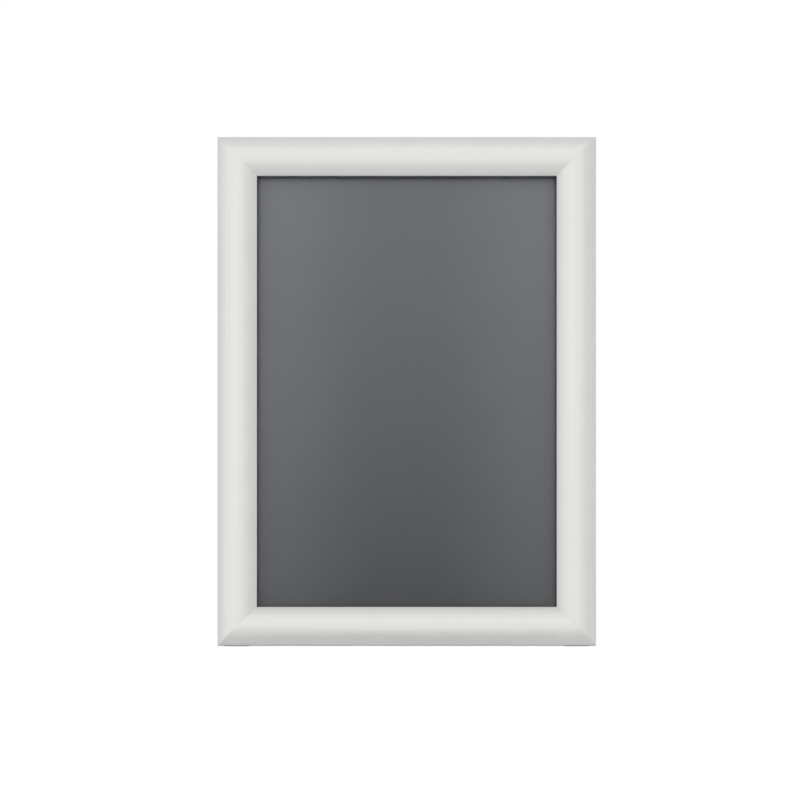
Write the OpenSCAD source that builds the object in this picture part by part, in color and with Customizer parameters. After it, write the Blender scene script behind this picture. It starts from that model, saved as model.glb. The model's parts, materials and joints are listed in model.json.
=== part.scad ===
// Counter-top sandwich board.
// Two aluminium snap frames stand back to back, hinged along their top rails and held
// open by a slotted stay on each side. Every frame has four mitred base rails, four
// convex cover rails that flip open, a back panel and an anti-glare sheet.
// Origin on the ground midway between the leaves, +Z up, X across, front leaf facing -Y.

/* [Poster] */
// Width of the sheet that a leaf holds
poster_w = 210; // [148:1:297]
// Height of the sheet that a leaf holds
poster_h = 297; // [210:1:420]
// How far each cover rail reaches over the sheet's edge
poster_overlap = 10; // [8:0.5:12]

/* [Stance] */
// How far each leaf leans from upright when the board stands open
lean = 9.5; // [6:0.5:14]
// Distance from each leaf's back to the hinge axis
axis_gap = 6; // [5.5:0.5:10]
// Distance from each leaf's top edge down to the hinge axis
axis_drop = 3; // [2:0.5:4]

/* [Rail section] */
// Width of a rail as seen from the front
rail_w = 25; // [21:0.5:32]
// Height of the cover's crown above the leaf's back
crown_h = 11.8; // [11:0.1:15]
// Height of the cover's two long edges above the leaf's back
shoulder_h = 8; // [7.8:0.1:9]
// Radius of the cover's outer edge
shoulder_r = 1; // [0.3:0.1:1.2]
// Radius of the cover's inner edge, beside the sheet
lip_r = 0.4; // [0.2:0.1:0.8]
// How far the lip under the inner edge leans in over the sheet
lip_splay = 0.7; // [0:0.1:0.9]
// Wall of both extrusions
wall = 1.2; // [0.9:0.1:1.5]
// How far the base stands in from the cover's outer edge
base_inset = 1.3; // [1:0.1:1.8]
// Gap between two covers at a mitre, measured along the rail
mitre_gap = 0.1; // [0.05:0.05:0.5]

/* [Cover pivot] */
// Radius of the bead that a cover turns on
bead_r = 1; // [0.8:0.05:1.2]
// Clearance between the bead and its socket
bead_clear = 0.12; // [0.05:0.01:0.2]
// Wall of the socket round the bead
socket_wall = 0.88; // [0.6:0.02:1.1]
// Height of the pivot above the leaf's back
pivot_h = 5; // [4.5:0.1:5.4]
// Thickness of the neck between bead and cover
neck_t = 0.9; // [0.6:0.1:1]

/* [Panel and sheet] */
// Thickness of the back panel
panel_t = 1.2; // [0.8:0.1:1.5]
// Thickness of the anti-glare sheet
sheet_t = 0.5; // [0.3:0.1:0.8]
// Thickness of the flange between them
flange_t = 0.8; // [0.6:0.1:1]
// Clearance of the panel in its groove
panel_clear = 0.05; // [0.02:0.01:0.2]

/* [Snap springs and corner keys] */
// Length of a snap spring along its rail
spring_len = 14; // [8:1:20]
// Thickness of the spring strip
spring_t = 0.5; // [0.3:0.1:0.6]
// Length of a corner key's leg
key_leg = 38; // [25:1:40]
// Thickness of a corner key
key_t = 1; // [0.8:0.1:1.2]

/* [Hinges] */
// Distance from the leaf's side to the middle of a hinge
hinge_inset = 60; // [45:1:75]
// Width of a hinge block
hinge_w = 44; // [40:1:48]
// Width of a hinge's knuckles together
knuckles_w = 28; // [20:1:30]
// Width of the middle knuckle
middle_knuckle_w = 9.4; // [6:0.2:12]
// Radius of a hinge barrel
barrel_r = 4.5; // [3.5:0.1:5]
// Radius of the hinge pin
hinge_pin_r = 2; // [1.5:0.1:2.4]
// Thickness of a hinge block's plate
hinge_plate_t = 3; // [2:0.1:3.2]

/* [Stays] */
// Height of the stud on the front leaf above the leaf's bottom edge
stud_rise = 84; // [75:1:120]
// Distance from the hinge axis down to the stay's pivot on the rear leaf
stay_pivot_drop = 96; // [70:1:120]
// Width of the stay
stay_w = 10; // [8:0.5:10.5]
// Thickness of the stay
stay_t = 1.5; // [1:0.1:2]
// Radius of the stay's stud and pivot pin
stay_pin_r = 2; // [1.5:0.1:2.5]
// Clearance between the stud and the sides of the stay's slot
slot_clear = 0.6; // [0.55:0.05:0.8]
// Thickness of the stay brackets
bracket_t = 1.5; // [1:0.1:2]

/* [Feet] */
// Width of a foot
foot_w = 16; // [8:1:24]
// Thickness of a foot behind its leaf
foot_t = 5; // [3:0.5:5.2]
// Clearance between the ground and the leaf's lowest corner
foot_drop = 0.2; // [0.1:0.1:2]

/* [Hidden] */
$fn = 64;

FRAME_NODES = [
    "base_top", "base_bottom", "base_left", "base_right",
    "cover_top", "cover_bottom", "cover_left", "cover_right",
    "back_panel", "antiglare_sheet", "corner_keys", "snap_springs",
    "hinge_blocks", "hinge_screws", "stay_brackets", "stay_rivets", "feet"
];

// Clearances: a turning pin, a piece that swings past another, a piece beside its seat
running_clear = 0.05;
seat_clear = 0.3;
side_clear = 0.2;
// What a cut or a shank runs past the face that it meets
overrun = 1;
eps = 0.01;

// Leaf size
leaf_w = poster_w - 2 * poster_overlap + 2 * rail_w;
leaf_h = poster_h - 2 * poster_overlap + 2 * rail_w;

// Hinge distance across the board, and the stud's distance down from the hinge axis
hinge_spacing = leaf_w - 2 * hinge_inset;
stud_drop = leaf_h - axis_drop - stud_rise;

// Cover section
crown_rise = crown_h - shoulder_h;
crown_r = (pow(rail_w / 2, 2) + pow(crown_rise, 2)) / (2 * crown_rise);
crown_centre = [rail_w / 2, crown_h - crown_r];
// Where an edge's arc starts above the back, and how far in it meets the crown
function edge_arc_h(r) = crown_centre[1] + sqrt(pow(crown_r - r, 2) - pow(rail_w / 2 - r, 2));
function edge_touch(r) = rail_w / 2 - (rail_w / 2 - r) * crown_r / (crown_r - r);

// Base section: the socket stands a quarter of its radius proud of the outer wall
socket_r = bead_r + bead_clear;
socket_outer_r = socket_r + socket_wall;
pivot_u = base_inset + 0.75 * socket_outer_r;
// The angles between which the socket is open for the cover's neck
socket_mouth = [55, 215];
// The cover's outer edge stops above the pivot, so that no corner swings across a mitre
edge_over_pivot = 2.2;
cover_edge_h = max(pivot_h + edge_over_pivot,
    crown_centre[1] + sqrt(pow(crown_r - wall, 2) - pow(rail_w / 2, 2)));
groove_u = rail_w - poster_overlap + side_clear;
groove_h = wall + panel_t + 2 * panel_clear;
sheet_h = groove_h + flange_t;
channel_end = groove_u - 2 * wall;
flange_inset = 0.8;
flange_end = rail_w - flange_inset;

// Cover details that reach down into the base
lip_play = 0.1;
lip_h = sheet_h + sheet_t + lip_play;
// Where the lip joins the shell, below the shoulder
lip_root = 0.3;
cam_u = (pivot_u + channel_end) / 2;
cam_foot_r = 0.8;
cam_foot_h = sheet_h + cam_foot_r + seat_clear;
// How far the bead and the cam stop short of a rail's ends, clear of the mitres
inner_trim = 12;

// Springs, keys and fasteners in the channel
spring_u = cam_u + cam_foot_r + side_clear;
spring_end = groove_u - wall - side_clear;
spring_top = cam_foot_h + side_clear;
key_u = base_inset + 2 * wall + seat_clear;
key_w = channel_end - side_clear - key_u;
screw_inset = 2;
screw_u = channel_end - screw_inset;
rivet_u = cam_u;

// Feet: height up the leaf's back, and distance in from the base's end
foot_h = 12.6;
foot_margin = 3;

// Stance
lowest_corner = min(base_inset * cos(lean), cover_edge_h * sin(lean));
axis_z = (leaf_h - axis_drop) * cos(lean) - axis_gap * sin(lean) - lowest_corner + foot_drop;
opening = 2 * lean;

// Spring places along a rail, measured from its middle: a stile has one near each end,
// clear of the stay's rivets, and a cross rail has them between its hinges, or a single one
spring_inset = 54.5;
spring_margin = 1;
long_springs = [spring_inset - leaf_h / 2, 0, leaf_h / 2 - spring_inset];
short_spring_x = (hinge_spacing - hinge_w - spring_len) / 2 - spring_margin;
short_springs = short_spring_x > spring_len / 2 ? [-short_spring_x, short_spring_x] : [0];

// Hinge details, with heights measured from the hinge axis
screw_r = 1.4;
screw_head_r = 2.6;
screw_head_t = 1.6;
screw_end = 1.6;
screw_socket_r = 1.4;
screw_socket_depth = 1;
screw_z = axis_drop - screw_u;
screw_edge = screw_head_r + 1.4;
screw_x = hinge_w / 2 - screw_edge;
hinge_plate_top = screw_z + screw_head_r - 0.8;
hinge_plate_bottom = screw_z - screw_head_r - 0.6;
knuckle_gap = side_clear;
knuckle_setback = 2;
pin_head_r = hinge_pin_r + 1;
pin_head_t = 1;

// Stay details
bracket_foot_w = 9;
bracket_len = 22;
bracket_u = rivet_u - bracket_foot_w / 2;
ear_u = bracket_u + bracket_foot_w;
ear_r = stay_pin_r + 2;
stay_u = ear_u + bracket_t + seat_clear;
rivet_spacing = 14;
rivet_r = 1.6;
rivet_head_r = 2 * rivet_r;
rivet_head_t = 0.9;
rivet_tail_r = 1.4 * rivet_r;
rivet_tail_t = 1.1;
stay_head_r = stay_pin_r + 1.5;
stay_head_t = 1.2;
stay_tail_t = 0.6;
// How far the slot runs on past the stud at either end of its travel, and the metal round it
slot_spare = 0.3;
slot_wall = 1.4;

// The stay's reach between pivot and stud, open and folded
stay_reach = sqrt(pow(stud_drop, 2) + pow(stay_pivot_drop, 2)
    - 2 * stud_drop * stay_pivot_drop * cos(opening));
stay_folded_reach = stud_drop - stay_pivot_drop;
function stay_bearing(a) =
    atan2(stud_drop * sin(a), stud_drop * cos(a) - stay_pivot_drop);
// Half of how far the true bearing at mid fold leaves a straight line: the slot's play takes it
stay_offset = (stay_bearing(lean) - stay_bearing(opening) / 2) / 2;
stay_angle = stay_bearing(opening) + stay_offset;
slot_play = 0.15;
slot_half_w = stay_pin_r + max(slot_clear, stay_reach * sin(abs(stay_offset)) + slot_play);

// ---------- Rail sections, u inward from the outer edge, v forward from the back ----------

module sector(r, from, to) {
    steps = 8;
    polygon(concat([[0, 0]], [for (i = [0:steps])
        let (a = from + (to - from) * i / steps) r * [cos(a), sin(a)]]));
}

module base_section() {
    difference() {
        union() {
            translate([base_inset, 0]) square([flange_end - base_inset, wall]);
            translate([base_inset, 0]) square([wall, pivot_h - socket_outer_r / 2]);
            translate([pivot_u, pivot_h]) circle(socket_outer_r);
            translate([groove_u - wall, 0]) square([wall, sheet_h]);
            translate([channel_end, groove_h]) square([flange_end - channel_end, flange_t]);
        }
        translate([pivot_u, pivot_h]) circle(socket_r);
        translate([pivot_u, pivot_h])
            sector(2 * socket_outer_r, socket_mouth[0], socket_mouth[1]);
    }
}

// What is cut from a square edge to leave it round
module edge_waste(r) {
    difference() {
        translate([-overrun, edge_arc_h(r)]) square([overrun + edge_touch(r), crown_h]);
        translate([r, edge_arc_h(r)]) circle(r);
    }
}

module cover_shell_section() {
    difference() {
        union() {
            intersection() {
                difference() {
                    translate(crown_centre) circle(crown_r, $fn = 256);
                    translate(crown_centre) circle(crown_r - wall, $fn = 256);
                }
                translate([0, cover_edge_h]) square([rail_w, crown_h]);
            }
            polygon([
                [rail_w - wall, shoulder_h - lip_root], [rail_w, shoulder_h - lip_root],
                [rail_w + lip_splay, lip_h], [rail_w + lip_splay - wall, lip_h]
            ]);
        }
        edge_waste(shoulder_r);
        translate([rail_w, 0]) mirror([1, 0]) edge_waste(lip_r);
    }
}

module cover_inner_section() {
    translate([pivot_u, pivot_h]) circle(bead_r);
    intersection() {
        union() {
            translate([pivot_u - neck_t / 2, pivot_h]) square([neck_t, crown_h]);
            translate([cam_u - wall / 2, cam_foot_h]) square([wall, crown_h]);
        }
        translate(crown_centre) circle(crown_r - wall / 2, $fn = 256);
    }
    translate([cam_u, cam_foot_h]) circle(cam_foot_r);
}

// ---------- Rails, standing upright with their outer edge at x = 0 ----------

module upright(length) {
    translate([0, 0, -length / 2])
        linear_extrude(height = length) mirror([0, 1]) children();
}

// Keeps what lies between two mitres, each a gap short of its corner
module mitred(length, gap) {
    reach = rail_w + overrun;
    end = length / 2 - gap;
    intersection() {
        upright(length + 2 * overrun) children();
        translate([0, overrun, 0]) rotate([90, 0, 0])
            linear_extrude(height = crown_h + 2 * overrun) polygon([
                [-overrun, end + overrun], [-overrun, -end - overrun],
                [reach, reach - end], [reach, end - reach]
            ]);
    }
}

module base_rail(length) {
    color("gainsboro") mitred(length, 0) base_section();
}

module cover_rail(length) {
    color("silver") union() {
        mitred(length, mitre_gap) cover_shell_section();
        upright(length - 2 * inner_trim) cover_inner_section();
    }
}

module snap_spring() {
    upright(spring_len) {
        translate([spring_u, wall]) square([spring_end - spring_u, spring_t]);
        translate([spring_u, wall]) square([spring_t, spring_top - wall]);
    }
}

// ---------- Leaf, back at y = 0 and facing -Y, bottom edge at z = 0 ----------

// Carries an upright rail to one side of the leaf
module on_side(side) {
    turn = side == "left" ? 0 : side == "top" ? 90 : side == "right" ? 180 : -90;
    span = is_stile(side) ? leaf_w : leaf_h;
    translate([0, 0, leaf_h / 2]) rotate([0, turn, 0]) translate([-span / 2, 0, 0]) children();
}

// A round hole or shank across the leaf's back, from y = start towards the front
module through_back(r, start, depth, sides = $fn) {
    translate([0, start, 0]) rotate([90, 0, 0]) cylinder(r = r, h = depth, $fn = sides);
}

module at_hinge_screws() {
    for (x = [-1, 1], s = [-1, 1])
        translate([x * hinge_spacing / 2 + s * screw_x, 0, leaf_h - screw_u]) children();
}

module at_stay_rivets(drop) {
    for (x = [-1, 1], s = [-1, 1])
        translate([x * (leaf_w / 2 - rivet_u), 0, leaf_h - axis_drop - drop + s * rivet_spacing / 2])
            children();
}

module hinge_screw_holes() {
    at_hinge_screws()
        through_back(screw_r + running_clear, hinge_plate_t + overrun,
            hinge_plate_t + wall + key_t + 2 * overrun);
}

module stay_rivet_holes(drop) {
    at_stay_rivets(drop)
        through_back(rivet_r + running_clear, bracket_t + overrun, bracket_t + wall + overrun + eps);
}

function is_stile(side) = side == "left" || side == "right";

module base(side, drop) {
    difference() {
        on_side(side) base_rail(is_stile(side) ? leaf_h : leaf_w);
        if (side == "top") hinge_screw_holes();
        if (is_stile(side)) stay_rivet_holes(drop);
    }
}

module cover(side) {
    on_side(side) cover_rail(is_stile(side) ? leaf_h : leaf_w);
}

// A flat sheet centred in the leaf, its outer edge at u and its back at v
module flat_sheet(u, v, thickness) {
    translate([-leaf_w / 2 + u, -v - thickness, u])
        cube([leaf_w - 2 * u, thickness, leaf_h - 2 * u]);
}

module back_panel() {
    color("dimgray") flat_sheet(groove_u + side_clear, wall + panel_clear, panel_t);
}

module antiglare_sheet() {
    color("gray", 0.4) flat_sheet(rail_w - poster_overlap, sheet_h, sheet_t);
}

module corner_keys() {
    color("lightsteelblue") difference() {
        for (mx = [0, 1], mz = [0, 1])
            mirror([mx, 0, 0]) translate([0, 0, leaf_h / 2]) mirror([0, 0, mz])
                translate([-leaf_w / 2, -wall - key_t, -leaf_h / 2]) union() {
                    translate([key_u, 0, key_u]) cube([key_leg - key_u, key_t, key_w]);
                    translate([key_u, 0, key_u]) cube([key_w, key_t, key_leg - key_u]);
                }
        hinge_screw_holes();
    }
}

module snap_springs() {
    color("slategray") {
        for (side = ["left", "right"], z = long_springs)
            on_side(side) translate([0, 0, z]) snap_spring();
        for (side = ["top", "bottom"], z = short_springs)
            on_side(side) translate([0, 0, z]) snap_spring();
    }
}

module feet() {
    foot_out = leaf_w / 2 - base_inset - foot_margin;
    color("whitesmoke") for (s = [0, 1]) mirror([s, 0, 0]) intersection() {
        translate([foot_out - foot_w, 0, -overrun - foot_drop]) cube([foot_w, foot_t, foot_h]);
        // Everything above the ground, seen from the leaned leaf
        translate([0, axis_gap, leaf_h - axis_drop]) rotate([lean, 0, 0])
            translate([-leaf_w, -leaf_h, -axis_z]) cube([2 * leaf_w, 2 * leaf_h, 2 * leaf_h]);
    }
}

// ---------- Hinges ----------

// One knuckle and its web to the plate, across the hinge axis at y = axis_gap, z = 0
module knuckle_section() {
    flank = barrel_r * sin(45);
    translate([axis_gap, 0]) circle(barrel_r);
    polygon([
        [0, hinge_plate_top - overrun], [0, axis_drop - knuckle_setback],
        [axis_gap - flank, flank], [axis_gap, 0], [axis_gap + flank, -flank],
        [hinge_plate_t, hinge_plate_top - overrun]
    ]);
}

module knuckle(from, to) {
    translate([from, 0, 0]) rotate([90, 0, 90]) linear_extrude(height = to - from) knuckle_section();
}

module hinge_block(middle) {
    difference() {
        union() {
            translate([-hinge_w / 2, 0, hinge_plate_bottom])
                cube([hinge_w, hinge_plate_t, hinge_plate_top - hinge_plate_bottom]);
            if (middle) knuckle(-middle_knuckle_w / 2, middle_knuckle_w / 2);
            else for (s = [0, 1]) mirror([s, 0, 0])
                knuckle(middle_knuckle_w / 2 + knuckle_gap, knuckles_w / 2);
        }
        translate([-hinge_w, axis_gap, 0]) rotate([0, 90, 0])
            cylinder(r = hinge_pin_r + running_clear, h = 2 * hinge_w);
    }
}

module hinge_blocks(middle) {
    color("silver") difference() {
        for (s = [-1, 1]) translate([s * hinge_spacing / 2, 0, leaf_h - axis_drop])
            hinge_block(middle);
        hinge_screw_holes();
    }
}

module hinge_screws() {
    color("lightgray") at_hinge_screws() difference() {
        union() {
            through_back(screw_r, hinge_plate_t + eps, hinge_plate_t + wall + screw_end);
            through_back(screw_head_r, hinge_plate_t + screw_head_t, screw_head_t);
        }
        through_back(screw_socket_r, hinge_plate_t + screw_head_t + overrun,
            screw_socket_depth + overrun, 6);
    }
}

module hinge_pins() {
    half = knuckles_w / 2 + running_clear;
    color("gray") for (x = [-1, 1]) translate([x * hinge_spacing / 2, 0, axis_z]) rotate([0, 90, 0]) {
        cylinder(r = hinge_pin_r, h = 2 * half + eps, center = true);
        for (s = [0, 1]) mirror([0, 0, s]) translate([0, 0, half])
            cylinder(r = pin_head_r, h = pin_head_t);
    }
}

// ---------- Stays ----------

module stay_bracket() {
    difference() {
        union() {
            translate([bracket_u, 0, -bracket_len / 2])
                cube([bracket_foot_w + bracket_t, bracket_t, bracket_len]);
            translate([ear_u, 0, -ear_r]) cube([bracket_t, axis_gap, 2 * ear_r]);
            translate([ear_u, axis_gap, 0]) rotate([0, 90, 0]) cylinder(r = ear_r, h = bracket_t);
        }
        translate([ear_u - overrun, axis_gap, 0]) rotate([0, 90, 0])
            cylinder(r = stay_pin_r + running_clear, h = bracket_t + 2 * overrun);
    }
}

module stay_brackets(drop) {
    color("lightgray") difference() {
        for (s = [0, 1]) mirror([s, 0, 0])
            translate([-leaf_w / 2, 0, leaf_h - axis_drop - drop]) stay_bracket();
        stay_rivet_holes(drop);
    }
}

module stay_rivets(drop) {
    color("gainsboro") at_stay_rivets(drop) {
        through_back(rivet_r, bracket_t + eps, bracket_t + wall + 2 * eps);
        through_back(rivet_head_r, bracket_t + rivet_head_t, rivet_head_t);
        through_back(rivet_tail_r, -wall, rivet_tail_t);
    }
}

// A headed pin through an ear and a stay, its axis at the leaf's hinge distance
module stay_pin() {
    length = bracket_t + stay_t + 2 * seat_clear;
    rotate([0, 90, 0]) {
        translate([0, 0, ear_u - eps]) cylinder(r = stay_pin_r, h = length + 2 * eps);
        translate([0, 0, ear_u - stay_tail_t]) cylinder(r = stay_head_r, h = stay_tail_t);
        translate([0, 0, ear_u + length]) cylinder(r = stay_head_r, h = stay_head_t);
    }
}

module stay_pins(drop) {
    color("gray") for (s = [0, 1]) mirror([s, 0, 0])
        translate([-leaf_w / 2, axis_gap, leaf_h - axis_drop - drop]) stay_pin();
}

// The stay's outline with its pivot at the origin and its slot along +X
module stay_outline() {
    slot_start = stay_folded_reach - slot_spare;
    slot_end = stay_reach + slot_spare;
    tail = slot_end + slot_half_w + slot_wall;
    difference() {
        union() {
            circle(stay_w / 2);
            translate([0, -stay_w / 2]) square([tail - stay_w / 2, stay_w]);
            translate([tail - stay_w / 2, 0]) circle(stay_w / 2);
        }
        circle(stay_pin_r + running_clear);
        translate([slot_start, -slot_half_w]) square([slot_end - slot_start, 2 * slot_half_w]);
        translate([slot_start, 0]) circle(slot_half_w);
        translate([slot_end, 0]) circle(slot_half_w);
    }
}

module stay() {
    color("lightgray") translate([-leaf_w / 2 + stay_u, 0, axis_z])
        rotate([lean, 0, 0]) translate([0, 0, -stay_pivot_drop])
            rotate([-stay_angle, 0, 0]) rotate([90, 90, 90])
                linear_extrude(height = stay_t) stay_outline();
}

// ---------- Board ----------

module front_leaf() {
    translate([0, 0, axis_z]) rotate([-lean, 0, 0])
        translate([0, -axis_gap, axis_drop - leaf_h]) children();
}

module rear_leaf() {
    rotate([0, 0, 180]) front_leaf() children();
}

// One piece of a leaf by its name; the stay's drop and the hinge half differ between leaves
module leaf_piece(name, drop, middle) {
    if (name == "base_top") base("top", drop);
    if (name == "base_bottom") base("bottom", drop);
    if (name == "base_left") base("left", drop);
    if (name == "base_right") base("right", drop);
    if (name == "cover_top") cover("top");
    if (name == "cover_bottom") cover("bottom");
    if (name == "cover_left") cover("left");
    if (name == "cover_right") cover("right");
    if (name == "back_panel") back_panel();
    if (name == "antiglare_sheet") antiglare_sheet();
    if (name == "corner_keys") corner_keys();
    if (name == "snap_springs") snap_springs();
    if (name == "hinge_blocks") hinge_blocks(middle);
    if (name == "hinge_screws") hinge_screws();
    if (name == "stay_brackets") stay_brackets(drop);
    if (name == "stay_rivets") stay_rivets(drop);
    if (name == "feet") feet();
}

for (n = FRAME_NODES) {
    front_leaf() leaf_piece(n, stud_drop, false);
    rear_leaf() leaf_piece(n, stay_pivot_drop, true);
}
hinge_pins();
front_leaf() stay_pins(stud_drop);  // stay_studs
rear_leaf() stay_pins(stay_pivot_drop);  // stay_pivot_pins
stay();  // left_stay
mirror([1, 0, 0]) stay();  // right_stay
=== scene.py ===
import json
from math import acos, asin, atan2, cos, degrees, radians, sin, sqrt

import bpy
from mathutils import Matrix, Vector


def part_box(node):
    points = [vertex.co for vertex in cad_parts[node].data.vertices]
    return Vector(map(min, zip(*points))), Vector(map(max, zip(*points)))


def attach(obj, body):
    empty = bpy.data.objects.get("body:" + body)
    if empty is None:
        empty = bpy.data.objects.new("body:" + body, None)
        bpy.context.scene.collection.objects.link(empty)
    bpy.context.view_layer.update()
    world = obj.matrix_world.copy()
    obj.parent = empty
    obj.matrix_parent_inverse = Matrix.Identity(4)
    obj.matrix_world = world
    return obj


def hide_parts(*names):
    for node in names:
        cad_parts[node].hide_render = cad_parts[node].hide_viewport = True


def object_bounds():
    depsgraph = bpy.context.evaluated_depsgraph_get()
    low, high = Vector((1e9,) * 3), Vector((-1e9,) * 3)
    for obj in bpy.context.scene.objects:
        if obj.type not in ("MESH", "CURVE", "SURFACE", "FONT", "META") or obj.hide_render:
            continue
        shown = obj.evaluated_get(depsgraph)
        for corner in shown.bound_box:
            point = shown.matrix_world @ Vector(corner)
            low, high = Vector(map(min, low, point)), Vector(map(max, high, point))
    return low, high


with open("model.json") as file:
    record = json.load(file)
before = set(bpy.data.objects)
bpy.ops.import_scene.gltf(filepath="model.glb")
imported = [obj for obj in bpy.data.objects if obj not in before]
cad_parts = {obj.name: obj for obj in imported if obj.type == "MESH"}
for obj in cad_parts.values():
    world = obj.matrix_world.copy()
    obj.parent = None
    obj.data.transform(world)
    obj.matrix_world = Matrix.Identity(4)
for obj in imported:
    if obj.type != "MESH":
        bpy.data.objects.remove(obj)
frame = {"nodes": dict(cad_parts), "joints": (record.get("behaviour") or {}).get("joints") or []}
cadLow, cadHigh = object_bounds()
joints = {joint["name"]: joint for joint in frame["joints"]}
mm = 0.001
print("frame loaded:", len(frame["nodes"]), "nodes")


# Where each leaf stands comes from the pivots of its four covers
class Leaf:
    def __init__(self, name):
        self.name = name
        pivots = {}
        for side in ("top", "bottom", "left", "right"):
            pivots[side] = Vector(joints[name + "_cover_" + side + "_snap"]["pos_m"])
        self.up = (pivots["top"] - pivots["bottom"]).normalized()
        self.across = (pivots["right"] - pivots["left"]).normalized()
        self.out = self.across.cross(self.up)
        low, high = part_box(name + "_cover_left")
        outerX = low.x if name == "front" else high.x
        inset = abs(abs(outerX) - abs(pivots["left"].x))
        self.width = (pivots["right"] - pivots["left"]).length + 2 * inset
        self.height = (pivots["top"] - pivots["bottom"]).length + 2 * inset
        self.origin = pivots["bottom"] - rail["pivotHeight"] * mm * self.out - inset * self.up
        self.lean = atan2(abs(self.up.y), self.up.z)
        self.body = name + "_leaf"
        self.tilt = self.lean if name == "front" else -self.lean

    # From the leaf's own axes (x across, y backwards, z up) to the board's
    def place(self, x=0, y=0, z=0):
        turn = Matrix((self.across, -self.out, self.up)).transposed().to_4x4()
        return Matrix.Translation(self.origin) @ turn @ Matrix.Translation((x, y, z))

    def local(self, point):
        return self.place().inverted() @ Vector(point)

    # A point on the leaf's back in the upright coordinates that its materials use
    def upright(self, x=0, y=0, z=0):
        return Matrix.Rotation(self.tilt, 4, "X") @ self.place(x, y, z).translation

    # From a rail standing upright with its outer edge at x = 0 to its side of the leaf
    def side(self, side, along=0):
        turn = {"left": 0, "top": 90, "right": 180, "bottom": -90}[side]
        span = self.width if side in ("left", "right") else self.height
        middle = self.place(0, 0, self.height / 2) @ Matrix.Rotation(radians(turn), 4, "Y")
        return middle @ Matrix.Translation((-span / 2, 0, along))


rail = {  # heights are above the leaf's back, widths inward from its outer edge
    "width": 25,
    "crownHeight": 11.8,
    "shoulderHeight": 8,
    "shoulderRadius": 1,
    "lipRadius": 0.4,
    "wall": 1.2,
    "baseInset": 1.3,
    "pivotWidth": 2.8,
    "pivotHeight": 5,
    "spare": 2,  # extra length that the mitres cut off
}
leaves = {name: Leaf(name) for name in ("front", "rear")}
leafWidth, leafHeight = leaves["front"].width / mm, leaves["front"].height / mm
print("leaf", round(leafWidth, 2), "x", round(leafHeight, 2), "mm")
print("lean", round(degrees(leaves["front"].lean), 2), "degrees")


# Modelling helpers
def pick(piece):
    bpy.ops.object.select_all(action="DESELECT")
    piece.select_set(True)
    bpy.context.view_layer.objects.active = piece


def edit(piece):
    pick(piece)
    bpy.ops.object.mode_set(mode="EDIT")
    bpy.ops.mesh.select_all(action="SELECT")


def objectMode():
    bpy.ops.object.mode_set(mode="OBJECT")


class Outline:
    # A closed section drawn point by point in millimetres, then pulled out along z.
    # A rail's section has its heights towards -y, so its y is mirrored
    def __init__(self, name, start, mirrored=False):
        self.sign = -1 if mirrored else 1
        bpy.ops.object.select_all(action="DESELECT")
        bpy.ops.mesh.primitive_plane_add(size=mm)
        self.piece = bpy.context.object
        self.piece.name = self.piece.data.name = name
        bpy.ops.object.mode_set(mode="EDIT")
        bpy.ops.mesh.merge(type="CENTER")
        bpy.ops.transform.translate(value=self.world(start))
        self.start = self.at = Vector(start)

    def world(self, point):
        return (point[0] * mm, self.sign * point[1] * mm, 0)

    def line(self, *points):
        for point in points:
            step = Vector(point) - self.at
            bpy.ops.mesh.extrude_region_move(TRANSFORM_OT_translate={"value": self.world(step)})
            self.at = Vector(point)
        return self

    # turn is in degrees, anticlockwise in the section
    def arc(self, centre, turn, steps):
        bpy.ops.mesh.spin(
            steps=steps, angle=-self.sign * radians(turn), center=self.world(centre), axis=(0, 0, 1))
        arm = self.at - Vector(centre)
        swing = Matrix.Rotation(radians(turn), 2)
        self.at = Vector(centre) + swing @ arm
        return self

    def close(self):
        self.line(self.start)
        bpy.ops.mesh.select_all(action="SELECT")
        bpy.ops.mesh.remove_doubles(threshold=0.001 * mm)

    # Pulled to this length, centred on z = 0
    def pull(self, length):
        self.close()
        bpy.ops.mesh.edge_face_add()
        bpy.ops.transform.translate(value=(0, 0, -length / 2 * mm))
        bpy.ops.mesh.extrude_region_move(TRANSFORM_OT_translate={"value": (0, 0, length * mm)})
        bpy.ops.mesh.select_all(action="SELECT")
        bpy.ops.mesh.normals_make_consistent(inside=False)
        objectMode()
        return self.piece

    # Turned about the y axis: x is the radius
    def turn(self, steps):
        bpy.ops.mesh.select_all(action="SELECT")
        bpy.ops.mesh.spin(steps=steps, angle=radians(360), center=(0, 0, 0), axis=(0, 1, 0))
        bpy.ops.mesh.select_all(action="SELECT")
        bpy.ops.mesh.remove_doubles(threshold=0.001 * mm)
        bpy.ops.mesh.normals_make_consistent(inside=False)
        objectMode()
        return self.piece


def applied(piece, kind, **settings):
    pick(piece)
    modifier = piece.modifiers.new(kind.lower(), kind)
    for key, value in settings.items():
        setattr(modifier, key, value)
    bpy.ops.object.modifier_apply(modifier=modifier.name)
    return piece


def bevelled(piece, width, segments=2, angle=30):
    settings = {"segments": segments, "limit_method": "ANGLE", "angle_limit": radians(angle)}
    return applied(piece, "BEVEL", width=width * mm, **settings)


def removed(piece):
    pick(piece)
    bpy.ops.object.delete()


def combined(piece, other, operation="UNION", solver="EXACT"):
    applied(piece, "BOOLEAN", operation=operation, solver=solver, object=other)
    removed(other)
    return piece


# Cuts off what lies past a plane, on the side that its normal points to, and closes the cut
def cutOff(piece, point, normal):
    edit(piece)
    bpy.ops.mesh.bisect(plane_co=point, plane_no=normal, use_fill=True, clear_outer=True)
    objectMode()


def placed(piece, matrix):
    pick(piece)
    piece.matrix_world = matrix
    bpy.ops.object.transform_apply(location=True, rotation=True, scale=True)
    return piece


def copied(piece, name):
    pick(piece)
    bpy.ops.object.duplicate()
    twin = bpy.context.object
    twin.name = twin.data.name = name
    return twin


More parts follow.
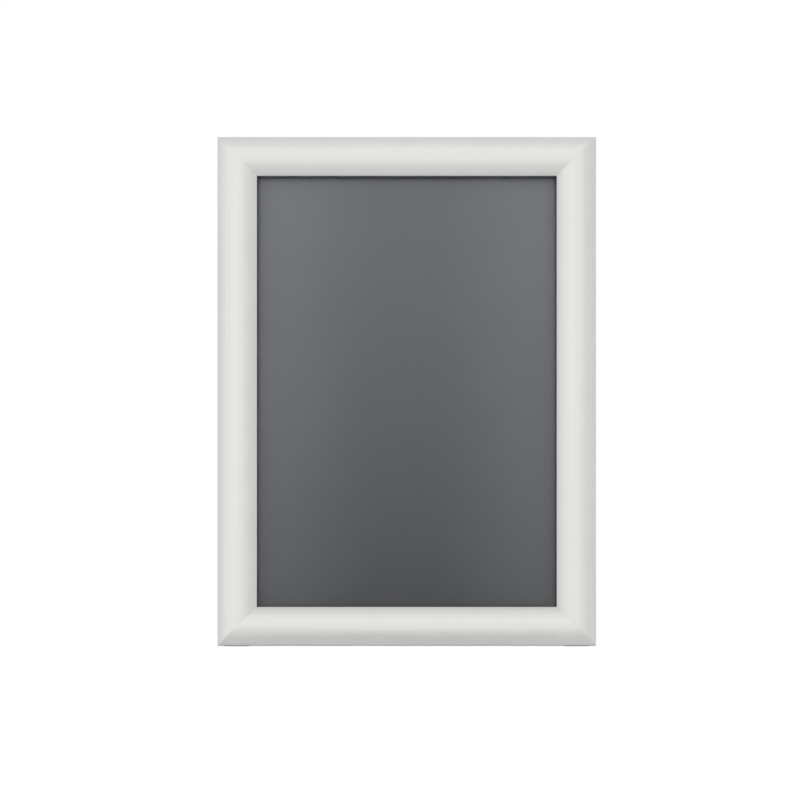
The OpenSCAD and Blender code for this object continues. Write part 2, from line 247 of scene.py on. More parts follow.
def mirroredX(piece):
    edit(piece)
    bpy.ops.transform.resize(value=(-1, 1, 1), center_override=(0, 0, 0))
    bpy.ops.mesh.normals_make_consistent(inside=False)
    objectMode()
    return piece


# A round or many-sided cutter along its own y axis, long enough to go right through a small piece
def cutter(radius, matrix, length=60, sides=32):
    bpy.ops.object.select_all(action="DESELECT")
    bpy.ops.mesh.primitive_cylinder_add(vertices=sides, radius=radius * mm, depth=length * mm)
    tool = bpy.context.object
    return placed(tool, matrix @ Matrix.Rotation(radians(90), 4, "X"))


def at(x, y, z):
    return Matrix.Translation((x * mm, y * mm, z * mm))


# The last steps for every piece: smooth its curves, give it its material and tie it to the frame
def fitted(piece, material, body, node, smooth=30):
    pick(piece)
    bpy.ops.object.shade_smooth_by_angle(angle=radians(smooth))
    piece.data.materials.clear()
    piece.data.materials.append(material)
    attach(piece, body)
    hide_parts(node)


# Wraps a node's output, so that shader maths reads as plain expressions
class Value:
    def __init__(self, tree, socket):
        self.tree = tree
        self.socket = socket

    def maths(self, operation, first, second):
        return self.tree.add("ShaderNodeMath", {"operation": operation}, [first, second])

    def __add__(self, other):
        return self.maths("ADD", self, other)

    def __radd__(self, other):
        return self.maths("ADD", other, self)

    def __sub__(self, other):
        return self.maths("SUBTRACT", self, other)

    def __rsub__(self, other):
        return self.maths("SUBTRACT", other, self)

    def __mul__(self, other):
        return self.maths("MULTIPLY", self, other)

    def __rmul__(self, other):
        return self.maths("MULTIPLY", other, self)

    def __abs__(self):
        return self.tree.add("ShaderNodeMath", {"operation": "ABSOLUTE"}, [self])


# One material's nodes. Its coordinates are turned upright for a leaning leaf
class Finish:
    def __init__(self, name, leaf=None):
        self.material = bpy.data.materials.new(name)
        self.material.use_nodes = True
        self.nodeTree = self.material.node_tree
        self.shader = self.nodeTree.nodes["Principled BSDF"]
        coordinates = self.add("ShaderNodeTexCoord", {}, [], "Object")
        inputs = {"Vector": coordinates, "Rotation": (leaf.tilt if leaf else 0, 0, 0)}
        self.place = self.add("ShaderNodeMapping", {}, inputs)

    # Settings come first, then the values or links of the sockets
    def add(self, kind, settings, inputs, output=0):
        node = self.nodeTree.nodes.new(kind)
        for key, value in settings.items():
            setattr(node, key, value)
        pairs = inputs.items() if isinstance(inputs, dict) else enumerate(inputs)
        for key, value in pairs:
            self.feed(node.inputs[key], value)
        return Value(self, node.outputs[output])

    def feed(self, socket, value):
        if isinstance(value, Value):
            self.nodeTree.links.new(value.socket, socket)
        elif value is not None:
            socket.default_value = value

    # Noise with a grain of this many millimetres along each axis
    def noise(self, grain, detail=2, roughness=0.5, shift=(0, 0, 0)):
        sizes = grain if isinstance(grain, tuple) else (grain,) * 3
        stretch = tuple(1 / (size * mm) for size in sizes)
        point = self.add("ShaderNodeVectorMath", {"operation": "MULTIPLY"}, [self.place, stretch])
        point = self.add("ShaderNodeVectorMath", {"operation": "ADD"}, [point, shift])
        inputs = {"Vector": point, "Scale": 1, "Detail": detail, "Roughness": roughness}
        return self.add("ShaderNodeTexNoise", {}, inputs, "Fac")

    def axis(self, letter):
        return self.add("ShaderNodeSeparateXYZ", {}, [self.place], letter)

    # 0 below low and 1 above high, or the other way round
    def band(self, value, low, high):
        inputs = {"Value": value, "From Min": low, "From Max": high}
        return self.add("ShaderNodeMapRange", {"interpolation_type": "SMOOTHSTEP"}, inputs)

    # Metres in front of the leaf's back
    def depth(self, leaf):
        away = self.axis("Y") - leaf.upright().y
        return away * -1 if leaf.name == "front" else away

    # 1 on edges that wear, 0 on open faces
    def edges(self, radius, low=0.015, high=0.12):
        inputs = {"Radius": radius * mm}
        rounded = self.add("ShaderNodeBevel", {"samples": 4}, inputs)
        flat = self.add("ShaderNodeNewGeometry", {}, [], "Normal")
        across = self.add("ShaderNodeVectorMath", {"operation": "DOT_PRODUCT"}, [rounded, flat], "Value")
        return self.band(1 - across, low, high)

    # A Mix node's colours are its sockets 6 and 7
    def mixColour(self, amount, first, second):
        sockets = {0: amount, 6: first, 7: second}
        for key in (6, 7):
            if not isinstance(sockets[key], Value):
                sockets[key] = (*sockets[key], 1)
        return self.add("ShaderNodeMix", {"data_type": "RGBA"}, sockets, 2)

    def bump(self, height, strength, distance, normal=None):
        inputs = {"Height": height, "Strength": strength, "Distance": distance * mm, "Normal": normal}
        return self.add("ShaderNodeBump", {}, inputs)

    def done(self, **sockets):
        for name, value in sockets.items():
            colour = isinstance(value, tuple) and len(value) == 3
            self.feed(self.shader.inputs[name.replace("_", " ")], (*value, 1) if colour else value)
        return self.material


def dimmed(colour, factor):
    return tuple(channel * factor for channel in colour)


anodised = {
    "colour": (0.87, 0.87, 0.853),
    "darkest": 0.955,  # the share of the colour that is left in the darkest lines
    "toneFrom": 0.36,
    "toneTo": 0.62,
    "baseDull": 0.08,  # the base rails are this much duller
    "dullRoughness": 0.6,
    "roughness": 0.43,
    "lineRoughness": 0.10,
    "blotchRoughness": 0.08,
    "lineWidth": 0.22,
    "lineLength": 90,
    "lineDepth": 0.004,
    "markWidth": 1.54,
    "markLength": 153,
    "markDepth": 0.012,
    "blotch": 18,
    "pit": 0.35,
    "paintedShadeFrom": 7.55,  # painted shade: a cover's flanks are darkened below this height, as the crevice by the lip lies in shade
    "paintedShadeTo": 6.6,
    "paintedShadeTone": 0.36,
}


# Satin silver anodising: fine draw lines along the rail, faint blotches, a matte etched grain, and painted
# shade on the covers' flanks
def anodisedAluminium(name, leaf, alongX, settings, dull=0.0):
    finish = Finish(name, leaf)

    def streaks(width, length, **more):
        return finish.noise((length, width, width) if alongX else (width, width, length), **more)

    lines = streaks(settings["lineWidth"], settings["lineLength"], detail=3, roughness=0.6)
    marks = streaks(settings["markWidth"], settings["markLength"], shift=(3, 7, 1))
    blotches = finish.noise(settings["blotch"], detail=3, roughness=0.55)
    pits = finish.noise(settings["pit"])
    tone = finish.band(
        lines * 0.35 + marks * 0.35 + blotches * 0.3, settings["toneFrom"], settings["toneTo"])
    light, dark = settings["colour"], dimmed(settings["colour"], settings["darkest"] - dull)
    colour = finish.mixColour(tone, dark, light)
    if not dull:
        # Painted shade: below a set height a cover's flanks are darkened, standing in for the shade in the
        # crevice by the lip and under the cover
        paintedShade = finish.band(finish.depth(leaf), settings["paintedShadeFrom"] * mm, settings["paintedShadeTo"] * mm)
        colour = finish.mixColour(paintedShade, colour, dimmed(light, settings["paintedShadeTone"]))
    roughness = settings["roughness"] + dull * settings["dullRoughness"]
    roughness = roughness + (lines - 0.5) * settings["lineRoughness"]
    roughness = roughness + (blotches - 0.5) * settings["blotchRoughness"]
    normal = finish.bump(lines * 0.7 + pits * 0.3, 0.25, settings["lineDepth"])
    normal = finish.bump(marks, 0.2, settings["markDepth"], normal)
    return finish.done(Base_Color=colour, Metallic=1.0, Roughness=roughness, Normal=normal)


panelFinish = {
    "colour": (0.124, 0.1315, 0.146),
    "darkest": 0.434,
    "palest": 1.566,
    "speckle": 0.6,
    "cloud": 45,
    "patchiness": 0.03,  # how far the speckle and the clouds change the tone
    "topLift": 0.73,  # painted light: how much paler it is towards the top, as the lamp's light falls off downwards
    "paintedSideSheen": 0.36,  # painted sheen: paler towards both sides too, from this far off the middle
    "paintedSheenFrom": 10,
    "shadowRim": 1.5,  # width of the painted shadow along the window's edge, where the lip shades the panel
    "shadowRimTone": 0.42,
    "roughness": 0.34,
    "speckleRoughness": 0.05,
    "grainDepth": 0.02,
    "gloss": 0.8,
}


# Grey hard plastic with a fine moulded grain, painted light that makes it paler towards the top and the
# sides, and a painted shadow along the window's edges
def greyPlastic(name, leaf, settings):
    finish = Finish(name, leaf)
    plain = settings["colour"]
    middle = leaf.upright(0, 0, leaf.height / 2).z
    across, up = leaf.width / 2 - rail["width"] * mm, leaf.height / 2 - rail["width"] * mm
    x, z = abs(finish.axis("X")), finish.axis("Z") - middle
    speckle = finish.noise(settings["speckle"], detail=3, roughness=0.65)
    clouds = finish.noise(settings["cloud"], detail=3)
    tone = (speckle - 0.5) * settings["patchiness"] + (clouds - 0.5) * settings["patchiness"] + 0.5
    # Painted light and sheen: the tone is raised towards the top and towards both sides, standing in for the
    # lamps' fall-off
    sides = finish.band(x, settings["paintedSheenFrom"] * mm, across) - 0.5
    tone = tone + z * (settings["topLift"] / (2 * up)) + sides * settings["paintedSideSheen"]
    darkest, palest = dimmed(plain, settings["darkest"]), dimmed(plain, settings["palest"])
    colour = finish.mixColour(tone, darkest, palest)
    # Painted shadow: a thin dark line along the window's edge stands in for the lip's contact shadow on the
    # panel
    shadowRim = settings["shadowRim"] * mm
    unshadowed = finish.band(x, across, across - shadowRim) * finish.band(abs(z), up, up - shadowRim)
    colour = finish.mixColour(unshadowed, dimmed(plain, settings["shadowRimTone"]), colour)
    roughness = settings["roughness"] + (speckle - 0.5) * settings["speckleRoughness"]
    normal = finish.bump(speckle, 0.04, settings["grainDepth"])
    return finish.done(
        Base_Color=colour, Roughness=roughness, Normal=normal, Specular_IOR_Level=settings["gloss"])


sheetFinish = {
    "colour": (0.10, 0.104, 0.11),
    "alpha": 0.04,
    "smearAlpha": 0.02,
    "etchAlpha": 0.01,
    "roughness": 0.42,
    "smearRoughness": 0.06,
    "etch": 0.25,
    "etchDepth": 0.02,
    "smear": 30,
}


# Clear plastic with one etched face: it veils the panel and glows where it mirrors a light
def antiglare(name, leaf, settings):
    finish = Finish(name, leaf)
    smear = settings["smear"]
    etch = finish.noise(settings["etch"], roughness=0.6)
    smears = finish.noise((smear, smear, smear * 2), detail=4)
    alpha = settings["alpha"] + (smears - 0.5) * settings["smearAlpha"]
    alpha = alpha + (etch - 0.5) * settings["etchAlpha"]
    roughness = settings["roughness"] + (smears - 0.5) * settings["smearRoughness"]
    normal = finish.bump(etch, 0.06, settings["etchDepth"])
    return finish.done(Base_Color=settings["colour"], Roughness=roughness, Alpha=alpha, Normal=normal)


steels = {
    "zinc": {"colour": (0.66, 0.67, 0.69), "tint": (0.58, 0.58, 0.55), "roughness": 0.34, "spangle": 3.5},
    "spring": {"colour": (0.20, 0.21, 0.25), "tint": (0.30, 0.26, 0.22), "roughness": 0.30, "spangle": 6},
    "turned": {"colour": (0.56, 0.56, 0.57), "tint": (0.48, 0.48, 0.50), "roughness": 0.26, "spangle": 2},
    "rivet": {"colour": (0.78, 0.78, 0.79), "tint": (0.68, 0.68, 0.70), "roughness": 0.36, "spangle": 1.5},
}
wear = {
    "scratch": 0.3,
    "scratchDepth": 0.008,
    "scratchRoughness": 0.15,
    "spangleRoughness": 0.14,
    "edge": 0.4,
    "bright": (0.80, 0.80, 0.80),
}


# Plated or bare steel: spangle, scratches that run along stretch, and edges worn bright
def steel(name, leaf, settings, stretch=(1, 1, 1)):
    finish = Finish(name, leaf)
    scratches = finish.noise(tuple(wear["scratch"] * s for s in stretch), detail=3, roughness=0.7)
    spangle = finish.noise(settings["spangle"], detail=3, roughness=0.6)
    tone = finish.band(spangle * 0.65 + scratches * 0.35, 0.35, 0.65)
    colour = finish.mixColour(tone, settings["tint"], settings["colour"])
    worn = finish.edges(wear["edge"]) * finish.band(scratches, 0.35, 0.6)
    colour = finish.mixColour(worn, colour, wear["bright"])
    roughness = settings["roughness"] + (scratches - 0.5) * wear["scratchRoughness"]
    roughness = roughness + (spangle - 0.5) * wear["spangleRoughness"]
    normal = finish.bump(scratches, 0.35, wear["scratchDepth"])
    return finish.done(Base_Color=colour, Metallic=1.0, Roughness=roughness, Normal=normal)


rubberFinish = {
    "colour": (0.74, 0.74, 0.73),
    "scuff": (0.50, 0.49, 0.48),
    "scuffHeight": 4,
    "scuffRise": 0.06,  # how much stronger it is with each millimetre down
    "scuffStrength": 0.7,
    "dirt": 4,
    "grain": 0.5,
    "grainDepth": 0.04,
    "roughness": 0.72,
    "grainRoughness": 0.2,
}


# Pale rubber, scuffed where it stands on the ground
def rubber(name, leaf, settings):
    finish = Finish(name, leaf)
    grain = finish.noise(settings["grain"], detail=3, roughness=0.6)
    dirt = finish.noise(settings["dirt"], detail=4, roughness=0.6)
    low = (settings["scuffHeight"] * mm - finish.axis("Z")) * (settings["scuffRise"] / mm)
    worn = finish.band(dirt + low, 0.52, 0.8) * settings["scuffStrength"]
    colour = finish.mixColour(worn, settings["colour"], settings["scuff"])
    roughness = settings["roughness"] + (grain - 0.5) * settings["grainRoughness"]
    normal = finish.bump(grain, 0.4, settings["grainDepth"])
    return finish.done(Base_Color=colour, Roughness=roughness, Normal=normal)


finishes = {}
for name, leaf in leaves.items():
    dull = anodised["baseDull"]
    finishes[name] = {
        "stile": anodisedAluminium(name + "_stile_finish", leaf, False, anodised),
        "cross": anodisedAluminium(name + "_cross_finish", leaf, True, anodised),
        "baseStile": anodisedAluminium(name + "_base_stile_finish", leaf, False, anodised, dull),
        "baseCross": anodisedAluminium(name + "_base_cross_finish", leaf, True, anodised, dull),
        "panel": greyPlastic(name + "_panel_finish", leaf, panelFinish),
        "sheet": antiglare(name + "_sheet_finish", leaf, sheetFinish),
        "zinc": steel(name + "_zinc_finish", leaf, steels["zinc"]),
        "spring": steel(name + "_spring_finish", leaf, steels["spring"]),
        "rivet": steel(name + "_rivet_finish", leaf, steels["rivet"]),
        "rubber": rubber(name + "_foot_finish", leaf, rubberFinish),
    }
pinSteel = steel("pin_finish", None, steels["turned"], (0.2, 1, 1))
stayZinc = steel("stay_finish", None, steels["zinc"], (1, 1.6, 12))
print("materials made")


# Cover rails: a thin curved shell with a pivot bead and a snap cam on its inner side
cover = {
    "edgeHeight": 7.2,  # where the outer edge stops, above the pivot
    "lipHeight": 3.9,
    "lipRoot": 0.3,
    "lipSplay": 0.7,  # the lip leans in over the sheet
    "beadRadius": 1,
    "neck": 0.9,
    "camWidth": 7.8,
    "camHeight": 4.4,
    "camRadius": 0.8,
    "mitreGap": 0.012,
    "tipCut": 0.6,
    "innerTrim": 12,  # the bead and cam stop short of the mitres
    "edgeRound": 0.12,
    "legRound": 0.15,
    "crownSteps": 40,
    "shoulderSteps": 5,
    "footSteps": 14,
}
half = rail["width"] / 2
rise = rail["crownHeight"] - rail["shoulderHeight"]
crownRadius = (half**2 + rise**2) / (2 * rise)
crownCentre = Vector((half, rail["crownHeight"] - crownRadius))


# Height of the circle of this radius about the crown's centre, at a place across the rail
def crownHeightAt(u, radius):
    return crownCentre.y + sqrt(radius**2 - (u - half) ** 2)


def mitred(piece, length, gap):
    for end in (1, -1):
        cutOff(piece, (0, 0, end * (length / 2 - gap) * mm), (1, 0, end))
    return piece


# A leg under the crown that ends in a round foot, as the pivot bead and the snap cam do
def leg(u, footHeight, footRadius, thickness, length):
    top = crownHeightAt(u, crownRadius - rail["wall"] / 2)
    low, high = u - thickness / 2, u + thickness / 2
    reach = sqrt(footRadius**2 - (thickness / 2) ** 2)
    shape = Outline("leg", (low, top), mirrored=True).line((low, footHeight + reach))
    shape.arc((u, footHeight), 360 - 2 * degrees(asin(thickness / 2 / footRadius)), cover["footSteps"])
    shape.line((high, top))
    return bevelled(shape.pull(length), cover["legRound"], 2, 50)


# Height of the arc that rounds an edge, and the angle at which it meets the crown
def edgeArc(radius):
    reach = sqrt((crownRadius - radius) ** 2 - (half - radius) ** 2)
    return crownCentre.y + reach, degrees(atan2(half - radius, reach))


def coverRail(name, length):
    width, wall, innerRadius = rail["width"], rail["wall"], crownRadius - rail["wall"]
    outerHeight, outerSlope = edgeArc(rail["shoulderRadius"])
    lipArc, lipSlope = edgeArc(rail["lipRadius"])
    root, splay, lip = rail["shoulderHeight"] - cover["lipRoot"], cover["lipSplay"], cover["lipHeight"]
    inner = width - wall
    for step in range(4):  # comes closer to where the lip's back meets the shell's inner arc
        inner = width - wall + splay * (root - crownHeightAt(inner, innerRadius)) / (root - lip)
    innerStart = degrees(acos((inner - half) / innerRadius))
    edgeWidth = sqrt(innerRadius**2 - (cover["edgeHeight"] - crownCentre.y) ** 2)
    innerEnd = degrees(acos(-edgeWidth / innerRadius))
    shell = Outline(name, (0, cover["edgeHeight"]), mirrored=True)
    shell.line((0, outerHeight))
    shell.arc((rail["shoulderRadius"], outerHeight), outerSlope - 90, cover["shoulderSteps"])
    shell.arc(crownCentre, -outerSlope - lipSlope, cover["crownSteps"])
    shell.arc((width - rail["lipRadius"], lipArc), lipSlope - 90, cover["shoulderSteps"])
    shell.line((width, root), (width + splay, lip), (width + splay - wall, lip))
    shell.line((inner, crownHeightAt(inner, innerRadius)))
    shell.arc(crownCentre, innerEnd - innerStart, cover["crownSteps"] // 2)
    piece = bevelled(shell.pull(length + rail["spare"]), cover["edgeRound"], 2, 35)
    mitred(piece, length, cover["mitreGap"])
    low = (cover["edgeHeight"] + cover["tipCut"]) * mm
    for end in (1, -1):  # the lower outer corners would touch the neighbour's when both are open
        cutOff(piece, (0, -low, end * length / 2 * mm), (-1, 1, end))
    legLength = length - 2 * cover["innerTrim"]
    bead = leg(rail["pivotWidth"], rail["pivotHeight"], cover["beadRadius"], cover["neck"], legLength)
    cam = leg(cover["camWidth"], cover["camHeight"], cover["camRadius"], wall, legLength)
    return combined(combined(piece, bead), cam)


# Base rails: a channel with the pivot socket, the panel's groove and three lines on its back
base = {
    "grooveWidth": 15.2,
    "grooveHeight": 2.5,
    "flange": 0.8,
    "flangeEnd": 24.2,
    "channelEnd": 12.8,
    "socketRadius": 1.12,
    "socketWall": 0.88,
    "mouth": (55, 215),  # the socket is open between these angles
    "backLines": (6, 11.6, 19.4),
    "lineWidth": 0.5,
    "lineDepth": 0.22,
    "edgeRound": 0.1,
    "hingeScrewHole": 1.45,
    "rivetHole": 1.65,
    "holeDepth": 4,
    "outerSteps": 12,
    "socketSteps": 14,
    "edgeSteps": 2,
}


def baseRail(name, length):
    inset, wall = rail["baseInset"], rail["wall"]
    outer = base["socketRadius"] + base["socketWall"]
    pivot = Vector((rail["pivotWidth"], rail["pivotHeight"]))
    groove, grooveHeight, end = base["grooveWidth"], base["grooveHeight"], base["flangeEnd"]
    top, channel = grooveHeight + base["flange"], base["channelEnd"]
    opening, closing = base["mouth"]

    def around(angle, radius):
        return pivot + radius * Vector((cos(radians(angle)), sin(radians(angle))))

    shape = Outline(name, (inset, 0), mirrored=True)
    for middle in base["backLines"]:
        low, high = middle - base["lineWidth"] / 2, middle + base["lineWidth"] / 2
        shape.line((low, 0), (middle, base["lineDepth"]), (high, 0))
    shape.line((end, 0), (end, wall), (groove, wall), (groove, grooveHeight))
    shape.line((end, grooveHeight), (end, top))
    shape.line((channel, top), (channel, grooveHeight), (groove - wall, grooveHeight), (groove - wall, wall))
    inside = inset + wall
    meet = degrees(acos((inside - pivot.x) / outer))
    shape.line((inside, wall), around(-meet, outer))
    shape.arc(pivot, opening + meet, base["outerSteps"])
    shape.line(around(opening, base["socketRadius"]))
    shape.arc(pivot, closing - opening - 360, base["socketSteps"])
    shape.line(around(closing, outer))
    leave = 360 - degrees(acos((inset - pivot.x) / outer))
    shape.arc(pivot, leave - closing, base["edgeSteps"])
    piece = mitred(shape.pull(length + rail["spare"]), length, 0)
    return bevelled(piece, base["edgeRound"], 1, 40)


lengths = {"left": leafHeight, "right": leafHeight, "top": leafWidth, "bottom": leafWidth}
coverMasters = {length: coverRail("cover_master", length) for length in (leafHeight, leafWidth)}
baseMasters = {length: baseRail("base_master", length) for length in (leafHeight, leafWidth)}
print("rails modelled")

# From a section's axes to the leaf's: its plane stands across x, or faces backwards
alongX = Matrix(((0, 0, 1, 0), (1, 0, 0, 0), (0, 1, 0, 0), (0, 0, 0, 1)))
facingBack = Matrix.Rotation(radians(90), 4, "X")


def roundedBox(name, low, high, radius, steps=6):
    (x0, y0), (x1, y1) = low, high
    shape = Outline(name, (x0 + radius, y0)).line((x1 - radius, y0))
    shape.arc((x1 - radius, y0 + radius), 90, steps).line((x1, y1 - radius))
    shape.arc((x1 - radius, y1 - radius), 90, steps).line((x0 + radius, y1))
    shape.arc((x0 + radius, y1 - radius), 90, steps).line((x0, y0 + radius))
    return shape.arc((x0 + radius, y0 + radius), 90, steps)


# Back panel and anti-glare sheet: inset from the leaf's edge, height above its back
sheets = {
    "back_panel": {"inset": 15.4, "height": 1.25, "thick": 1.2, "corner": 1.0, "edgeRound": 0.15,
                   "finish": "panel", "slot": "grey_panel"},
    "antiglare_sheet": {"inset": 15.0, "height": 3.3, "thick": 0.5, "corner": 1.5, "edgeRound": 0.08,
                        "finish": "sheet", "slot": "antiglare_sheet"},
}


def flatSheet(name, settings):
    across, up = leafWidth / 2 - settings["inset"], leafHeight / 2 - settings["inset"]
    shape = roundedBox(name, (-across, -up), (across, up), settings["corner"])
    piece = placed(shape.pull(settings["thick"]), facingBack)
    bevelled(piece, settings["edgeRound"])
    return placed(piece, at(0, -settings["height"] - settings["thick"] / 2, 0))


# Corner keys: pressed L plates with punched holes
key = {
    "start": 4.0,
    "width": 8.6,
    "leg": 38,
    "thick": 1,
    "height": 1.2,
    "innerRound": 1.5,
    "edgeRound": 0.2,
    "hole": 1.3,
    "holes": (18.5, 29.5),
}


def cornerKey():
    low, inner, far = key["start"], key["start"] + key["width"], key["leg"]
    bend = inner + key["innerRound"]
    shape = Outline("key_master", (low, low)).line((far, low), (far, inner), (bend, inner))
    shape.arc((bend, bend), -90, 5).line((inner, far), (low, far))
    piece = bevelled(placed(shape.pull(key["thick"]), facingBack), key["edgeRound"])
    middle = key["start"] + key["width"] / 2
    for along in key["holes"]:
        for x, z in ((along, middle), (middle, along)):
            combined(piece, cutter(key["hole"], at(x, 0, z)), "DIFFERENCE")
    return placed(piece, at(0, -key["height"] - key["thick"] / 2, 0))


# Snap springs: a strip bent up from the rail's web, where it rubs on the cover's cam
spring = {
    "start": 8.8,
    "end": 13.8,
    "top": 4.6,
    "thick": 0.5,
    "bend": 0.8,
    "length": 14,
    "edgeRound": 0.1,
    "fromCorner": 54.5,  # places along the stiles
    "fromMiddle": 30,  # and along the top and bottom rails
}


def snapSpring():
    low, wall, thick, bend = spring["start"], rail["wall"], spring["thick"], spring["bend"]
    shape = Outline("spring_master", (spring["end"], wall), mirrored=True).line((low + bend, wall))
    shape.arc((low + bend, wall + bend), -90, 5).line((low, spring["top"]), (low + thick, spring["top"]))
    shape.line((low + thick, wall + bend))
    shape.arc((low + bend, wall + bend), 90, 5).line((spring["end"], wall + thick))
    return bevelled(shape.pull(spring["length"]), spring["edgeRound"])


# Hinge blocks: heights here are measured from the hinge axis
hinge = {
    "width": 44,
    "plate": 3,
    "plateTop": -6,
    "plateBottom": -11,
    "corner": 0.4,
    "axisGap": 6,
    "barrel": 4.5,
    "bore": 2.05,
    "knuckles": 28,
    "middleKnuckle": 9.4,
    "gap": 0.2,
    "shoulder": 1,
    "webTop": -7.2,
    "webRise": 0.5,  # the knuckle's web starts inside the plate
    "webBack": 0.02,
    "webFront": 0.1,
    "screwSpread": 18,
    "screwHeight": -7.8,
    "edgeRound": 0.35,
    "knuckleRound": 0.21,
}


def knuckle(start, end):
    gap, flank = hinge["axisGap"], hinge["barrel"] * sin(radians(45))
    back, front = hinge["webBack"], hinge["plate"] - hinge["webFront"]
    low = hinge["plateBottom"] + hinge["webRise"]
    shape = Outline("knuckle", (back, low)).line((front, low), (front, hinge["webTop"]))
    shape.line((gap + flank, -flank)).arc((gap, 0), 180, 24).line((back, hinge["shoulder"]))
    piece = bevelled(placed(shape.pull(end - start), alongX), hinge["knuckleRound"], 2, 40)
    return placed(piece, at((start + end) / 2, 0, 0))


def hingeBlock(name, middle):
    low, high = (0, hinge["plateBottom"]), (hinge["plate"], hinge["plateTop"])
    shape = roundedBox(name, low, high, hinge["corner"], 3)
    piece = bevelled(placed(shape.pull(hinge["width"]), alongX), hinge["edgeRound"], 3, 40)
    edge, outer = hinge["middleKnuckle"] / 2, hinge["knuckles"] / 2
    spans = [(-edge, edge)] if middle else [(-outer, -edge - hinge["gap"]), (edge + hinge["gap"], outer)]
    for start, end in spans:
        combined(piece, knuckle(start, end))
    across = at(0, hinge["axisGap"], 0) @ Matrix.Rotation(radians(90), 4, "Z")
    combined(piece, cutter(hinge["bore"], across), "DIFFERENCE")
    for x in (-hinge["screwSpread"], hinge["screwSpread"]):
        combined(piece, cutter(base["hingeScrewHole"], at(x, 0, hinge["screwHeight"])), "DIFFERENCE")
    return piece


# Hinge pin, headed at one end and peened at the other
pin = {
    "radius": 2,
    "half": 14.05,
    "head": 3,
    "headThick": 1,
    "headTop": 2.3,
    "headRim": 0.45,
    "peen": ((3, 0), (3, 0.5), (2.6, 0.85), (1.6, 1), (0, 1)),  # radius, and height past the shoulder
    "edgeRound": 0.08,
}


def hingePin():
    radius, half, far, head = pin["radius"], pin["half"], pin["half"] + pin["headThick"], pin["head"]
    shape = Outline("pin_master", (0, -far)).line((pin["headTop"], -far), (head, -half - pin["headRim"]))
    shape.line((head, -half), (radius, -half), (radius, half))
    shape.line(*[(wide, half + past) for wide, past in pin["peen"]])
    piece = placed(shape.turn(32), Matrix.Rotation(radians(-90), 4, "Z"))
    return bevelled(piece, pin["edgeRound"], 2, 25)


# Button-head socket screw through the hinge plate and the rail
screw = {
    "radius": 1.4,
    "root": 1.25,
    "pitch": 0.5,
    "plain": 1,  # length under the head that has no thread
    "end": -2.8,
    "tip": 0.6,
    "tipRadius": 1.05,
    "head": 2.6,
    "headThick": 1.6,
    "dome": ((1.75, 0), (2.25, 0.25), (2.5, 0.65), (2.6, 1.1)),  # radius, and depth below the top
    "socket": 1.4,
    "socketDepth": 1,
    "edgeRound": 0.06,
}


def hingeScrew():
    radius, seat, end, pitch = screw["radius"], hinge["plate"], screw["end"], screw["pitch"]
    top = seat + screw["headThick"]
    shape = Outline("screw_master", (0, top)).line(*[(wide, top - depth) for wide, depth in screw["dome"]])
    shape.line((screw["head"], seat), (radius, seat))
    height = seat - screw["plain"]
    while height > end + screw["tip"]:
        shape.line((radius, height), (screw["root"], height - pitch / 2))
        height -= pitch
    shape.line((radius, height), (screw["tipRadius"], end), (0, end))
    piece = bevelled(shape.turn(28), screw["edgeRound"], 2, 50)
    socket = cutter(screw["socket"], at(0, top, 0), 2 * screw["socketDepth"], 6)
    return combined(piece, socket, "DIFFERENCE")


# Stay brackets: widths are inward from the leaf's outer edge, heights from the stud
bracket = {
    "start": 3.3,
    "ear": 12.3,
    "thick": 1.5,
    "length": 22,
    "corner": 1.5,
    "earRadius": 4,
    "earSlack": 0.02,
    "flare": 1.5,
    "bend": 1.0,
    "sink": 0.3,  # the ear and its bend start this deep in the foot
    "bendSink": 0.4,
    "studHole": 2.05,
    "rivetWidth": 7.8,
    "rivetSpread": 7,
    "rivetHole": 1.65,
    "edgeRound": 0.25,
    "bendRound": 0.15,
}


def stayBracket():
    thick, ear, tall, gap = bracket["thick"], bracket["ear"], bracket["earRadius"], hinge["axisGap"]
    start, end, reach = bracket["start"], ear + thick, bracket["length"] / 2
    sole = roundedBox("bracket_master", (start, -reach), (end, reach), bracket["corner"], 5)
    piece = placed(placed(sole.pull(thick), facingBack), at(0, thick / 2, 0))
    bevelled(piece, bracket["edgeRound"], 2, 40)
    flare, sink = bracket["flare"], bracket["sink"]
    low = -tall - flare
    shape = Outline("ear", (sink, low)).line((thick, low)).arc((thick + flare, low), -90, 5)
    shape.line((gap, -tall)).arc((gap, 0), 180, 20).line((thick + flare, tall))
    shape.arc((thick + flare, tall + flare), -90, 5).line((sink, -low))
    plate = bevelled(placed(shape.pull(thick - bracket["earSlack"]), alongX), bracket["edgeRound"], 2, 40)
    combined(piece, placed(plate, at(ear + thick / 2, 0, 0)))
    bend, far = bracket["bend"], ear + bracket["bendSink"]
    shape = Outline("bend", (far, thick - sink)).line((far, thick + bend), (ear, thick + bend))
    shape.arc((ear - bend, thick + bend), -90, 6).line((ear - bend, thick - sink))
    combined(piece, bevelled(shape.pull(2 * tall), bracket["bendRound"], 1, 50))
    for z in (-bracket["rivetSpread"], bracket["rivetSpread"]):
        combined(piece, cutter(bracket["rivetHole"], at(bracket["rivetWidth"], 0, z)), "DIFFERENCE")
    across = at(ear, gap, 0) @ Matrix.Rotation(radians(90), 4, "Z")
    return combined(piece, cutter(bracket["studHole"], across), "DIFFERENCE")


# Blind rivets, with the dimple that the broken mandrel leaves: radius, and height off each seat
rivet = {
    "radius": 1.6,
    "dimple": ((0, 0.25), (0.75, 0.25), (0.85, 0.8)),
    "head": ((1.5, 0.88), (2.3, 0.7), (2.9, 0.35), (3.2, 0.1), (3.2, 0)),
    "tail": ((2.24, 0), (2.24, 0.55), (1.5, 1.1), (0, 1.1)),
    "edgeRound": 0.05,
}


